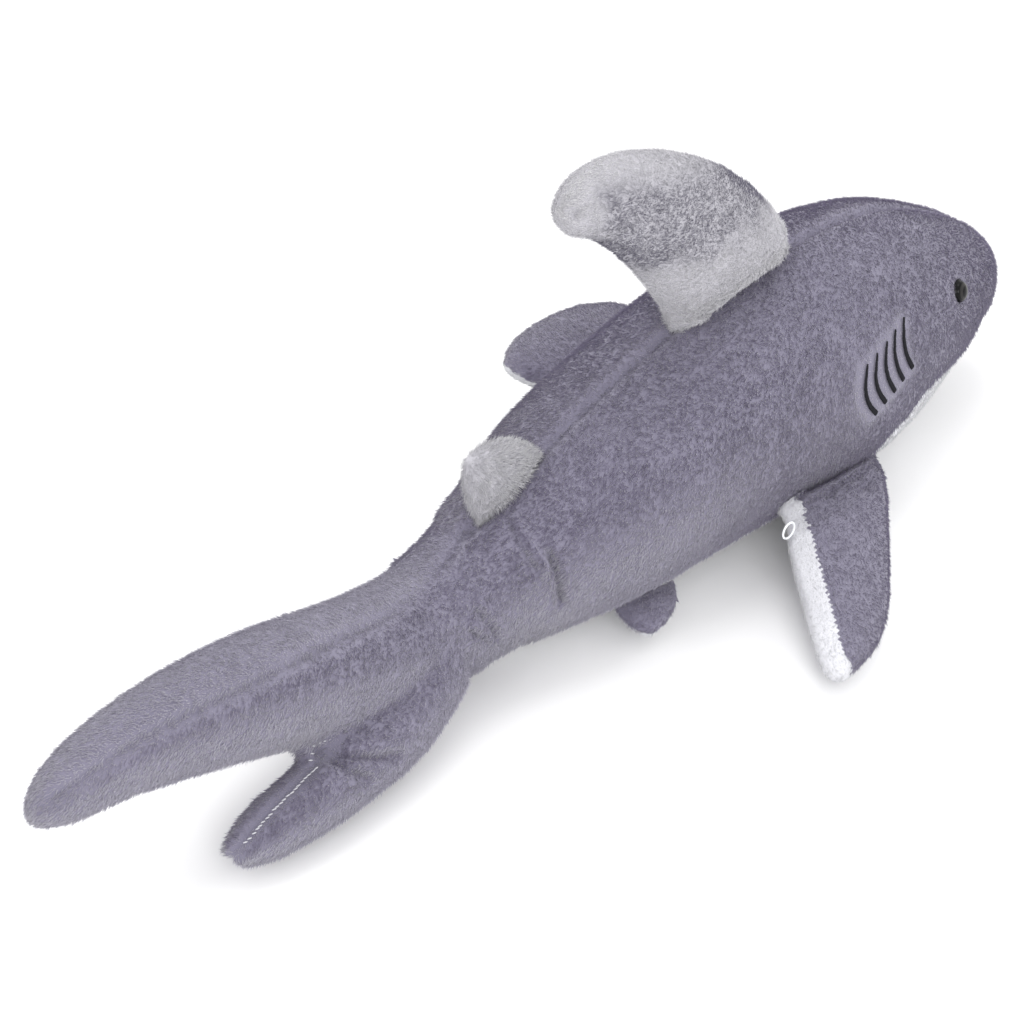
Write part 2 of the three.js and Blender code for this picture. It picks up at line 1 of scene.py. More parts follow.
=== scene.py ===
# %% [markdown]
# # A stuffed plush shark
#
# The real toy is a sewn skin of knitted pile fabric, turned right side out and filled with fibre. The
# solid model that is loaded here gives every piece its place and size, and how it moves. This lesson
# gives the pieces their looks: skins that swell like filled cloth, seams and folds pressed into them,
# and a coat of real fibres on top, because a pile fabric can't be told from felt without them.
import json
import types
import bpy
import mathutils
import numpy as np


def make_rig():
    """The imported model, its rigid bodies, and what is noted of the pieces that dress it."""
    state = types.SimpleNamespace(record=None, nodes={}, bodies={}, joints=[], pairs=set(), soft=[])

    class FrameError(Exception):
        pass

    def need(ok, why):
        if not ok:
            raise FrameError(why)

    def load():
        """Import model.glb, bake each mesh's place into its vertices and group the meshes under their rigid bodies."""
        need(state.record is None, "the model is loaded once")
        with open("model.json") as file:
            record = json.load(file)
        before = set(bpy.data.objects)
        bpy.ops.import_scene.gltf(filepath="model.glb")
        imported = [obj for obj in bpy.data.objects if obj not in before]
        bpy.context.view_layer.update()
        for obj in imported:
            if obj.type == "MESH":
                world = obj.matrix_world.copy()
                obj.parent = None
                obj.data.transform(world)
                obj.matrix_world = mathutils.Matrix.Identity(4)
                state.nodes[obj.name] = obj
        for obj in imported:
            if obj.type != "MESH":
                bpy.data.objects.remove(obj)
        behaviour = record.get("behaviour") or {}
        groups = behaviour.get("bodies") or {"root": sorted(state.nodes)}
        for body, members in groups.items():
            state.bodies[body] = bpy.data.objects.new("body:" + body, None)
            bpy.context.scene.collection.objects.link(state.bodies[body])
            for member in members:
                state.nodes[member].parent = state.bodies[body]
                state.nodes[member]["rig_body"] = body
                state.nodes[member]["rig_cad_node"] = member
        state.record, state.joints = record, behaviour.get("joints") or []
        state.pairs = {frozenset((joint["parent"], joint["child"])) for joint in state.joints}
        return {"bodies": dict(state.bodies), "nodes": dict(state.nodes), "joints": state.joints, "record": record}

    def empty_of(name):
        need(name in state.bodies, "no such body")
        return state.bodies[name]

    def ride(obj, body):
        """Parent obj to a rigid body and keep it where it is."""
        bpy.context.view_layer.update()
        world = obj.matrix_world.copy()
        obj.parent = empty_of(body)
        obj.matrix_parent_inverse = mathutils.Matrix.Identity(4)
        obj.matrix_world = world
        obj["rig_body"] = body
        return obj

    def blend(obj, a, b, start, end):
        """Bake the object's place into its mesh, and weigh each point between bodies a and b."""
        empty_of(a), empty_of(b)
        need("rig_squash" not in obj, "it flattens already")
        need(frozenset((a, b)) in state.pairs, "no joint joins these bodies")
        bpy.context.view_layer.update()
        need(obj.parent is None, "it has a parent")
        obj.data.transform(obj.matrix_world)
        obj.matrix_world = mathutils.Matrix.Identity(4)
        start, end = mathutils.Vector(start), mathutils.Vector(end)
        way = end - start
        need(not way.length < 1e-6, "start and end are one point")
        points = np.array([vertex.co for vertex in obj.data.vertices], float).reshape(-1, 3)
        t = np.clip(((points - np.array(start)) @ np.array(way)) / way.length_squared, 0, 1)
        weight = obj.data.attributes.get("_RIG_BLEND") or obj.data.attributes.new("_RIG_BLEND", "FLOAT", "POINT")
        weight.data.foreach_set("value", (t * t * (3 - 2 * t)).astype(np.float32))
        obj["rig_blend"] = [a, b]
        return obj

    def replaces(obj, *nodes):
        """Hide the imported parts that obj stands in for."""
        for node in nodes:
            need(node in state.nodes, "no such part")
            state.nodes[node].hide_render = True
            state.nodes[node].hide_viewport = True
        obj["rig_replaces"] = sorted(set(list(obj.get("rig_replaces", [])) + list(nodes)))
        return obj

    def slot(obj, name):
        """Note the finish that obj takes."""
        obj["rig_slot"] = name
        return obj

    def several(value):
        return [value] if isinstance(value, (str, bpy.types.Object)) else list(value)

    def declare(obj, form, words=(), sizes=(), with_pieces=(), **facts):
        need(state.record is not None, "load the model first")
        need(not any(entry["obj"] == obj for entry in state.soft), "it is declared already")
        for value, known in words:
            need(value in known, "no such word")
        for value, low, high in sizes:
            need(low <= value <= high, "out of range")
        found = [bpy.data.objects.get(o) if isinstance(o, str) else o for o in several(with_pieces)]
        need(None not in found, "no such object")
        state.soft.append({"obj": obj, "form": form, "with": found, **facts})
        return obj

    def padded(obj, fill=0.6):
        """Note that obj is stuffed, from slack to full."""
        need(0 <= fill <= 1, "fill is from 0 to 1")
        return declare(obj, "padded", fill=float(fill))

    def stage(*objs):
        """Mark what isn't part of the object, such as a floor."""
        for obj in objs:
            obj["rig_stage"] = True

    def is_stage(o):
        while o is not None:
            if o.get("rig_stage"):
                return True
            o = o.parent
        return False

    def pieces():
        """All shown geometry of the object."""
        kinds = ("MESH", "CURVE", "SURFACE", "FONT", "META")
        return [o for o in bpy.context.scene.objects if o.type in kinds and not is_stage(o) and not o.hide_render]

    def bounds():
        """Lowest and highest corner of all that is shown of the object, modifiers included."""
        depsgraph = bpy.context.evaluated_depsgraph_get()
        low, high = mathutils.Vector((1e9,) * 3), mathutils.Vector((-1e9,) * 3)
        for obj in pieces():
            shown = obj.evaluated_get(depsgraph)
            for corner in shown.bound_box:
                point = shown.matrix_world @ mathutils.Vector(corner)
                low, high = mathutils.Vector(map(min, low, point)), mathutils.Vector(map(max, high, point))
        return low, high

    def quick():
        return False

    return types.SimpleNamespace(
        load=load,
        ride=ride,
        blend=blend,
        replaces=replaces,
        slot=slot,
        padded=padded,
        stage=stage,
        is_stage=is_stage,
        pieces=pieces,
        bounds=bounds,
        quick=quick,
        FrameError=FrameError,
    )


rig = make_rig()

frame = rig.load()

import json
import math

import bmesh
import bpy
import numpy as np
from mathutils import Matrix, Vector, noise
from mathutils.bvhtree import BVHTree
from mathutils.kdtree import KDTree

MM = 0.001
solid_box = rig.bounds()
print("solid model's box, mm:", [[round(c / MM) for c in corner] for corner in solid_box])

# %% [markdown]
# ## Camera, floor and light
#
# The toy lies on a white table under a large soft light and is looked at from behind, above and its
# right. A long lens keeps the near tail and the far head in proportion. A pale floor and a bright plain
# world give the soft fill that a light tent gives, and two large lamps shape the rounds.

# %% Camera
CAMERA_PLACE = Vector((-713.97, -651.01, 750.16)) * MM
CAMERA_AIM = Vector((-27.9, 2.78, 57.0)) * MM
LENS = 110.34

camera_data = bpy.data.cameras.new("camera")
camera_data.lens = LENS
camera_data.sensor_width = 36
camera = bpy.data.objects.new("camera", camera_data)
camera.location = CAMERA_PLACE
camera.rotation_euler = (CAMERA_AIM - CAMERA_PLACE).to_track_quat("-Z", "Y").to_euler()
bpy.context.collection.objects.link(camera)
bpy.context.scene.camera = camera
bpy.context.scene.view_settings.view_transform = "Standard"
print("camera is", round((CAMERA_AIM - CAMERA_PLACE).length, 3), "m away")


# %% Shader helpers
class Wire:
    """A socket that can be used in sums, so shader maths reads as maths."""

    def __init__(self, look, socket):
        self.look = look
        self.socket = socket

    def math(self, operation, *values):
        return self.look.node("ShaderNodeMath", {"operation": operation}, dict(enumerate(values)))

    def __add__(self, other):
        return self.math("ADD", self, other)

    def __rsub__(self, other):
        return self.math("SUBTRACT", other, self)

    def __mul__(self, other):
        return self.math("MULTIPLY", self, other)

    __radd__ = __add__
    __rmul__ = __mul__


class Look:
    """One material and the nodes that make it."""

    def __init__(self, name, **constants):
        self.material = bpy.data.materials.new(name)
        self.material.use_nodes = True
        self.tree = self.material.node_tree
        self.shader = self.tree.nodes["Principled BSDF"]
        for socket, value in constants.items():
            self.shader.inputs[socket.replace("_", " ")].default_value = value

    def node(self, kind, settings=None, values=None, out=0):
        made = self.tree.nodes.new(kind)
        for key, value in (settings or {}).items():
            setattr(made, key, value)
        for key, value in (values or {}).items():
            if isinstance(value, Wire):
                self.tree.links.new(value.socket, made.inputs[key])
            else:
                made.inputs[key].default_value = value
        return Wire(self, made.outputs[out])

    def feed(self, **links):
        for socket, wire in links.items():
            self.tree.links.new(wire.socket, self.shader.inputs[socket.replace("_", " ")])
        return self.material

    def place(self):
        return self.node("ShaderNodeTexCoord", out="Object")

    def grain(self, scale, detail=2.0, where=None):
        where = where or self.place()
        values = {"Vector": where, "Scale": scale, "Detail": detail}
        return self.node("ShaderNodeTexNoise", None, values)

    def mix(self, factor, first, second):
        values = {0: factor, 6: first, 7: second}
        return self.node("ShaderNodeMix", {"data_type": "RGBA"}, values, out=2)

    def bump(self, height, strength, distance):
        values = {"Height": height, "Strength": strength, "Distance": distance}
        return self.node("ShaderNodeBump", None, values)


print("shader helpers ready")

# %% Floor and lamps
floor_mesh = bpy.data.meshes.new("floor")
bm = bmesh.new()
bmesh.ops.create_grid(bm, x_segments=1, y_segments=1, size=6)
bm.to_mesh(floor_mesh)
bm.free()
floor = bpy.data.objects.new("floor", floor_mesh)
bpy.context.collection.objects.link(floor)
floor_look = Look("pale_floor", Roughness=0.9, Base_Color=(0.96, 0.96, 0.96, 1))
floor_mesh.materials.append(floor_look.material)
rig.stage(floor)

world = bpy.data.worlds.new("tent")
world.use_nodes = True
world.node_tree.nodes["Background"].inputs[0].default_value = (1, 1, 1, 1)
world.node_tree.nodes["Background"].inputs[1].default_value = 1.2
bpy.context.scene.world = world


LAMP_AIM = (0, 0, 0.05)


def lamp(name, place, size, power):
    data = bpy.data.lights.new(name, "AREA")
    data.shape = "DISK"
    data.size = size
    data.energy = power
    made = bpy.data.objects.new(name, data)
    made.location = place
    aim = Vector(LAMP_AIM) - Vector(place)
    made.rotation_euler = aim.to_track_quat("-Z", "Y").to_euler()
    bpy.context.collection.objects.link(made)


lamp("overhead", (0.3, 0.35, 1.6), 1.1, 7)
lamp("side", (-0.9, -1.3, 1.0), 0.9, 9)
print("floor and 2 lamps placed")

# %% [markdown]
# ## The fabrics
#
# The toy is cut from three pile fabrics: purplish grey for the back, silver grey for the fins on the
# back and white for the belly. The backing under the pile takes the same colour, painted darker as the
# shade under the fibres, with a fine knit in its bump. The fibres carry their own colour in an attribute,
# which was mixed for each fibre when it was planted, so brushed patches, pale seams, the belly's edge
# and the painted light and shade all come from one place.


# %% Fabric materials
def backing(name, dark, light):
    look = Look(name, Sheen_Weight=0.25, Sheen_Roughness=0.6, Specular_IOR_Level=0.15)
    patches = look.grain(55, 3)
    knit = look.grain(2600, 2)
    colour = look.mix(patches, dark, light)
    rough = knit * 0.15 + 0.82
    return look.feed(Base_Color=colour, Roughness=rough, Normal=look.bump(knit, 0.6, 0.0004))


def fibres(name):
    look = Look(name, Sheen_Weight=0.6, Sheen_Roughness=0.4, Specular_IOR_Level=0.15)
    planted = look.node("ShaderNodeAttribute", {"attribute_name": "coat"}, out="Color")
    streak = look.grain(900, 1)
    shade = look.mix(streak * 0.2, planted, (0.45, 0.44, 0.52, 1))
    return look.feed(Base_Color=shade, Roughness=streak * 0.2 + 0.6)


GREY = (0.215, 0.19, 0.285)
DUSK = (0.13, 0.11, 0.185)
PALE = (0.52, 0.5, 0.585)
LILAC = (0.2, 0.19, 0.245)
WHITE = (0.84, 0.84, 0.87)
# Each backing is painted darker than its pile, as the shade under the fibres.
grey_backing = backing("grey_backing", (0.17, 0.16, 0.22, 1), (0.24, 0.225, 0.3, 1))
silver_backing = backing("silver_backing", (0.4, 0.39, 0.43, 1), (0.5, 0.49, 0.53, 1))
white_backing = backing("white_backing", (0.62, 0.62, 0.66, 1), (0.76, 0.76, 0.8, 1))
pile = fibres("pile_fibres")
print("fabrics:", [m.name for m in (grey_backing, silver_backing, white_backing, pile)])

# %% [markdown]
# ## Skins
#
# A filled skin is a closed cloth with pressure inside. Each skin starts from the solid panels and the
# filling together, remeshed into one even closed form a little smaller than the toy. Cloth with
# pressure then swells it, and the swelling is capped, so that it stays where the solid is. Sewing two
# flat panels by hand in code would take longer and would not sit in the space that the solid holds.


# %% Skin helpers
def arrays(mesh):
    count = len(mesh.vertices)
    points = np.empty(count * 3)
    mesh.vertices.foreach_get("co", points)
    normals = np.empty(count * 3)
    mesh.vertices.foreach_get("normal", normals)
    return points.reshape(-1, 3), normals.reshape(-1, 3)


def move_points(mesh, points):
    mesh.vertices.foreach_set("co", np.asarray(points, float).ravel())
    mesh.update()


def solid_mesh(nodes):
    """A merged copy of the solids of some CAD nodes."""
    bm = bmesh.new()
    for node in nodes:
        bm.from_mesh(frame["nodes"][node].data)
    bmesh.ops.remove_doubles(bm, verts=bm.verts, dist=0.002 * MM)
    mesh = bpy.data.meshes.new("solids")
    bm.to_mesh(mesh)
    bm.free()
    return mesh


def settled(obj):
    """The object's mesh with its modifiers applied."""
    shown = obj.evaluated_get(bpy.context.evaluated_depsgraph_get())
    mesh = bpy.data.meshes.new_from_object(shown)
    obj.modifiers.clear()
    obj.data = mesh
    return mesh


def keep_outer_shell(mesh):
    """Drops the small closed bubbles that a remesh leaves between a skin and its filling."""
    bm = bmesh.new()
    bm.from_mesh(mesh)
    bm.verts.ensure_lookup_table()
    seen, shells = set(), []
    for first in bm.verts:
        if first.index in seen:
            continue
        shell, edge = {first.index}, [first]
        while edge:
            vertex = edge.pop()
            for link in vertex.link_edges:
                other = link.other_vert(vertex)
                if other.index not in shell:
                    shell.add(other.index)
                    edge.append(other)
        seen |= shell
        shells.append(shell)
    widest = max(shells, key=len)
    loose = [v for v in bm.verts if v.index not in widest]
    bmesh.ops.delete(bm, geom=loose, context="VERTS")
    bm.to_mesh(mesh)
    bm.free()


def make_skin(name, nodes, voxel, inset, swell):
    """One closed filled skin from the solids of some nodes."""
    skin = bpy.data.objects.new(name, solid_mesh(nodes))
    bpy.context.collection.objects.link(skin)
    remesh = skin.modifiers.new("even", "REMESH")
    remesh.mode = "VOXEL"
    remesh.voxel_size = voxel * MM
    keep_outer_shell(settled(skin))
    smooth = skin.modifiers.new("ease", "SMOOTH")
    smooth.iterations = 3
    smooth.factor = 0.5
    settled(skin)
    hold_size(skin, nodes, inset)
    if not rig.quick():
        inflate(skin, swell)
    finer = skin.modifiers.new("finer", "SUBSURF")
    finer.levels = finer.render_levels = 1
    settled(skin)
    skin.data.polygons.foreach_set("use_smooth", [True] * len(skin.data.polygons))
    print(name, "has", len(skin.data.polygons), "faces")
    return skin


def hold_size(skin, nodes, inset):
    """Brings the points back to just inside the solid's outer face, which smoothing has shrunk."""
    solid = solid_mesh([node for node in nodes if "stuffing" not in node])
    tree = BVHTree.FromPolygons([v.co for v in solid.vertices], [p.vertices for p in solid.polygons])
    points, normals = arrays(skin.data)
    moved = points.copy()
    for i, (point, normal) in enumerate(zip(points, normals)):
        start = Vector(point + normal * 6 * MM)
        hit = tree.ray_cast(start, Vector(-normal), 11 * MM)
        shift = 6 - hit[3] / MM if hit[0] else 0
        moved[i] += normal * (min(max(shift, -3), 4) - inset) * MM
    move_points(skin.data, moved)
    ease = skin.modifiers.new("ease again", "SMOOTH")
    ease.iterations = 2
    ease.factor = 0.5
    settled(skin)


def inflate(skin, cap):
    """Swells the skin with cloth pressure, moving no point further than the cap."""
    rest, _ = arrays(skin.data)
    cloth = skin.modifiers.new("filled", "CLOTH")
    cloth.settings.use_pressure = True
    cloth.settings.uniform_pressure_force = 4
    cloth.settings.effector_weights.gravity = 0
    cloth.settings.quality = 4
    for number in range(1, 21):
        bpy.context.scene.frame_set(number)
    full, _ = arrays(settled(skin))
    bpy.context.scene.frame_set(1)
    moved = full - rest
    far = np.linalg.norm(moved, axis=1, keepdims=True)
    move_points(skin.data, rest + moved * np.minimum(1, cap * MM / np.maximum(far, 1e-9)))


# %% Make the skins
TORSO = ["right_flank_panel", "left_flank_panel", "belly_panel", "torso_stuffing"]
TAIL = ["tail_right_panel", "tail_left_panel", "tail_stuffing"]
LOWER = ["lower_lobe_right_panel", "lower_lobe_left_panel", "lower_lobe_stuffing"]
FINS = {
    "dorsal_fin": ["dorsal_right_panel", "dorsal_left_panel", "dorsal_stuffing"],
    "second_dorsal_fin": ["second_dorsal_right_panel", "second_dorsal_left_panel"],
}
for side in ("right", "left"):
    panels = [f"{side}_pectoral_{part}" for part in ("top_panel", "under_panel", "stuffing")]
    FINS[f"{side}_pectoral_fin"] = panels
    FINS[f"{side}_pelvic_fin"] = [f"{side}_pelvic_top_panel", f"{side}_pelvic_under_panel"]

body_skin = make_skin("body_skin", TORSO + TAIL + LOWER, voxel=3.0, inset=1.3, swell=1.2)
fin_skins = {}
for body, nodes in FINS.items():
    thin = "stuffing" not in nodes[-1]
    fin_skins[body] = make_skin(
        f"{body}_skin", nodes, voxel=1.1 if thin else 2.0, inset=0.1 if thin else 0.7, swell=0.8
    )

# %% [markdown]
# ## Fin roots
#
# The solid fins are narrow at their roots, which leaves them room to flop. On the toy the fabric is
# sewn on at full width, so each skin's root is filled out again here and pushed a little way into the
# body, where the join is hidden, as a seam allowance is.


# %% Fill out the roots
def root_frame(body):
    """A fin's own axes: along its root, through its thickness and out along its span."""
    joint = next(j for j in frame["joints"] if j["child"] == body)
    origin = Vector(joint["pos_m"])
    along = Vector(joint["axis"]).normalized()
    points, _ = arrays(fin_skins[body].data)
    out = Vector(points.mean(0)) - origin
    out = (out - along * out.dot(along)).normalized()
    through = out.cross(along)
    return np.array(origin), np.array([along, through, out])


def fill_root(body, full, reach, sink):
    mesh = fin_skins[body].data
    origin, axes = root_frame(body)
    points, _ = arrays(mesh)
    local = (points - origin) @ axes.T
    height = local[:, 2]
    low = height < reach * MM
    bands = np.clip((height / (2 * MM)).astype(int), 0, 200)
    fronts = np.array([local[bands == b, 0].max() if (bands == b).any() else 0 for b in range(201)])
    backs = np.array([local[bands == b, 0].min() if (bands == b).any() else 0 for b in range(201)])
    wide = np.maximum(fronts[bands] - backs[bands], MM)
    chord = np.clip((local[:, 0] - backs[bands]) / wide, 0, 1)
    target = full * MM * np.sqrt(4 * chord * (1 - chord))
    half = np.array(
        [np.abs(local[bands == b, 1]).max() if (bands == b).any() else MM for b in range(201)]
    )
    ease = np.clip(1 - height / (reach * MM), 0, 1) ** 0.5
    factor = np.maximum(target / np.maximum(half[bands], MM), 1)
    local[:, 1] *= np.where(low, 1 + (factor - 1) * ease, 1)
    deep = np.clip(1 - height / (5 * MM), 0, 1)
    local[:, 2] -= sink * MM * deep
    move_points(mesh, local @ axes + origin)
    return origin, axes


ROOTS = {
    "dorsal_fin": (18, 22, 8),
    "second_dorsal_fin": (7, 8, 3),
    "right_pectoral_fin": (12, 14, 6),
    "left_pectoral_fin": (12, 14, 6),
    "right_pelvic_fin": (4.5, 6, 4),
    "left_pelvic_fin": (4.5, 6, 4),
}
fin_axes = {}
for body, (full, reach, sink) in ROOTS.items():
    fin_axes[body] = fill_root(body, full, reach, sink)
print("filled out the roots of", len(fin_axes), "fins")


def fin_point(body, ahead, up, out):
    """A place in a fin's own axes, in millimetres, as a place in the frame."""
    origin, axes = fin_axes[body]
    return Vector(origin + (axes * (np.array([[ahead], [up], [out]]) * MM)).sum(0))

# %% [markdown]
# ## Seams, dimples and folds
#
# A seam pulls the filled skin in along a line. The lines are where two solid panels meet, so they are
# read from the panels. The eyes pull a dimple, the gills lie in a shallow flattened patch, and the
# tail's root has folds where the fabric crumples. Each one is pressed in along the skin's normals.


# %% Pressing helpers
def close_line(first, second, spacing=1.0, near=1.0):
    """Points along the edges of one panel that run close beside another."""
    other = KDTree(len(frame["nodes"][second].data.vertices))
    for i, vertex in enumerate(frame["nodes"][second].data.vertices):
        other.insert(vertex.co, i)
    other.balance()
    mesh = solid_mesh([first])
    touching = [other.find(v.co)[2] < near * MM for v in mesh.vertices]
    points = []
    for edge in mesh.edges:
        a, b = edge.vertices
        if touching[a] and touching[b]:
            start, end = mesh.vertices[a].co, mesh.vertices[b].co
            steps = max(2, int((end - start).length / (spacing * MM)))
            points += [start.lerp(end, k / steps) for k in range(steps + 1)]
    return points


def through(points, spacing=1.0):
    """Points along a line of corners."""
    line = []
    for start, end in zip(points, points[1:]):
        start, end = Vector(start) * MM, Vector(end) * MM
        steps = max(2, int((end - start).length / (spacing * MM)))
        line += [start.lerp(end, k / steps) for k in range(steps + 1)]
    return line


def distance_to(points, line):
    tree = KDTree(len(line))
    for i, point in enumerate(line):
        tree.insert(point, i)
    tree.balance()
    return np.array([tree.find(p)[2] for p in points])


def press(mesh, line, width, depth, rise=0.0, ahead=(0, 0, 0)):
    """Presses a valley along a line and, beside it, can raise a low ridge."""
    points, normals = arrays(mesh)
    fall = np.exp(-((distance_to(points, line) / MM) ** 2) / (2 * width**2))
    beside = [p + Vector(ahead) * MM for p in line]
    swell = np.exp(-((distance_to(points, beside) / MM) ** 2) / (2 * (1.6 * width) ** 2))
    move_points(mesh, points - normals * ((fall * depth - swell * rise) * MM)[:, None])


# %% Seams and folds of the body
back_seam = close_line("right_flank_panel", "left_flank_panel")
belly_seam = []
for flank in ("right_flank_panel", "left_flank_panel"):
    belly_seam += close_line("belly_panel", flank)
RIDGE = [
    (-53.6, 2.2, 62.7),
    (-70.6, -4.2, 61.5),
    (-102.7, -13.4, 61.5),
    (-140.3, -17, 69.2),
    (-178.4, -18, 74.5),
    (-216.2, -15.1, 76),
    (-254.1, -8.2, 69.5),
]
CROTCH_FOLDS = [
    [(-151.8, -22.1, 31.1), (-145.2, -30.4, 30.9), (-135.8, -35.7, 26.4), (-126.5, -37.2, 22)],
    [(-151.7, -25.1, 31.4), (-148.5, -33.7, 28.6), (-142.5, -38.3, 21.9)],
]
ridge_seam = through(RIDGE)
lower_seam = close_line("lower_lobe_right_panel", "lower_lobe_left_panel")
crotch = [
    point
    for lower in ("lower_lobe_right_panel", "lower_lobe_left_panel")
    for upper in ("tail_right_panel", "tail_left_panel")
    for point in close_line(lower, upper, near=1.2)
    if point.x < -118 * MM
]
for fold in CROTCH_FOLDS:
    crotch += through(fold)
press(body_skin.data, back_seam, 1.6, 3.6)
press(body_skin.data, belly_seam, 1.5, 0.9)
press(body_skin.data, ridge_seam, 1.8, 2.6)
press(body_skin.data, lower_seam, 1.6, 2.2)
press(body_skin.data, crotch, 1.5, 3.2)
pressed = (back_seam, belly_seam, ridge_seam, lower_seam, crotch)
print("pressed seams of", sum(len(line) for line in pressed), "points")

# %% [markdown]
# The tail's root is narrow and not tightly filled, so its cloth buckles. Four short creases are pressed
# in on the right side, each with a low ridge before it, and mirrored with a small shift on the left.

# %% Folds at the tail's root
FOLDS = [
    ([(-43.6, -11.6, 66.7), (-45.1, -18.6, 61.9), (-43.2, -26, 52.8)], 1.4, 1.8),
    ([(-36.7, -25.9, 57.9), (-36.7, -30, 49.5), (-36.4, -31.4, 37.5)], 1.4, 2.8),
    ([(-71.3, -21, 49.2), (-67.5, -23.9, 41.7), (-64.2, -25.2, 31.6)], 1.2, 2.0),
    ([(-76.9, -22.8, 42.8), (-70.4, -24.1, 35.1), (-67.2, -24.6, 30.7)], 1.0, 1.6),
]
fold_points = []
for corners, width, depth in FOLDS:
    for line in (corners, [(x - 4, -y, z) for x, y, z in corners]):
        points = through(line)
        fold_points += points
        press(body_skin.data, points, 0.8 * width, 1.6 * depth, rise=1.6, ahead=(3, 0, 0))
print("pressed", 2 * len(FOLDS), "folds")


# %% Gill and eye lines
def centre_line(node, stations=9):
    """The middle of a thread that runs downwards."""
    points = np.array([v.co for v in frame["nodes"][node].data.vertices])
    points = points[np.argsort(points[:, 2])]
    return [Vector(group.mean(0)) for group in np.array_split(points, stations)]


gill_lines = {}
for side in ("right", "left"):
    for number in range(1, 6):
        node = f"{side}_gill_stitch_{number}"
        gill_lines[node] = centre_line(node)
gill_points = [
    point
    for line in gill_lines.values()
    for a, b in zip(line, line[1:])
    for point in (a, a.lerp(b, 0.5))
]


EYE_SUNK = 3.1


def eye_axis(side):
    """Where an eye's rim meets the fabric, and which way the eye looks."""
    corners = frame["nodes"][f"{side}_eye"].data.vertices
    points = sorted((v.co.copy() for v in corners), key=lambda p: abs(p.y))
    end = points[0]
    top = max(points, key=lambda p: (p - end).length)
    shank = sum((p for p in points if (p - end).length < 3 * MM), Vector()) / sum(
        (p - end).length < 3 * MM for p in points
    )
    axis = (top - shank).normalized()
    return top - axis * (4.3 + EYE_SUNK) * MM, axis


eye_axes = {side: eye_axis(side) for side in ("right", "left")}
eyes = [seat for seat, axis in eye_axes.values()]
for line in gill_lines.values():
    press(body_skin.data, through([p / MM for p in line]), 1.0, 0.8, rise=0.7, ahead=(3.2, 0, 0))
for seat, axis in eye_axes.values():
    press(body_skin.data, [seat + axis * EYE_SUNK * MM], 3.4, 2.0)
print("gills pressed in, eyes at", [[round(c / MM, 1) for c in seat] for seat in eyes])

# %% Puckers at the pectoral roots
for body, top in (("right_pectoral_fin", 1), ("left_pectoral_fin", -1)):
    for out, start, end in ((4.0, 4, 34), (8.5, 22, 50), (13.0, 34, 46)):
        places = [
            fin_point(body, ahead, 8 * top, out + 1.2 * math.sin(0.3 * ahead))
            for ahead in np.linspace(start, end, 14)
        ]
        press(fin_skins[body].data, through([p / MM for p in places]), 1.3, 1.6)
print("puckered the pectoral roots")

# %% Pinch at the dorsal fin's tip
TIP_PINCH = min(
    (v.co for v in fin_skins["dorsal_fin"].data.vertices),
    key=lambda p: (p - Vector((-1.9, -4, 177.8)) * MM).length,
).copy()
press(fin_skins["dorsal_fin"].data, [TIP_PINCH], 1.8, 2.6)
print("pinched the dorsal fin's tip at", [round(c / MM) for c in TIP_PINCH])

# %% Draw the upper lobe's tip out
points, _ = arrays(body_skin.data)
drawn = np.clip((-232 - points[:, 0] / MM) / 28, 0, 1) ** 1.5 * (points[:, 2] > 30 * MM)
move_points(body_skin.data, points + drawn[:, None] * np.array([-6.0, 0, -3.0]) * MM)
print("drew out", int((drawn > 0).sum()), "points of the tip")

# %% [markdown]
# ## The coat
#
# Pile is thousands of fine fibres that lean the way the cloth was brushed. Hair systems would look
# the same but can't be exported as solid pieces, so each fibre is a slim three-sided cone, made once
# and planted many times. A coat is planned on the skin's points first, as a lean, a length and a
# colour, and each fibre takes its own from the points around its root.

# %% The fibre that is planted
bm = bmesh.new()
bmesh.ops.create_cone(bm, cap_ends=True, segments=3, radius1=1, radius2=0, depth=1)
bmesh.ops.translate(bm, verts=bm.verts, vec=(0, 0, 0.5))
bmesh.ops.remove_doubles(bm, verts=bm.verts, dist=1e-4)
bmesh.ops.recalc_face_normals(bm, faces=bm.faces)
FIBRE_POINTS = np.array([v.co for v in bm.verts])
FIBRE_FACES = np.array([[v.index for v in f.verts] for f in bm.faces])
bm.free()
print("a fibre has", len(FIBRE_POINTS), "points and", len(FIBRE_FACES), "faces")


# %% Planting
def unit(vectors):
    return vectors / np.maximum(np.linalg.norm(vectors, axis=1, keepdims=True), 1e-12)


def soft_noise(points, size, shift=0.0):
    """Smooth noise from -1 to 1 over points in metres, with features of about size millimetres."""
    scaled = points / (size * MM) + shift
    return np.array([noise.noise(p) for p in scaled.tolist()]) * 1.6


def parted(points, line, reach):
    """Directions away from a line, fading with distance: the pile parts along a seam."""
    tree = KDTree(len(line))
    for i, point in enumerate(line):
        tree.insert(point, i)
    tree.balance()
    away = np.array([np.array(p) - np.array(tree.find(p)[0]) for p in points])
    far = np.linalg.norm(away, axis=1, keepdims=True)
    return away / np.maximum(far, 1e-6) * np.exp(-((far / (reach * MM)) ** 2))


def step(values, low, high):
    share = np.clip((values - low) / (high - low), 0, 1)
    return share * share * (3 - 2 * share)


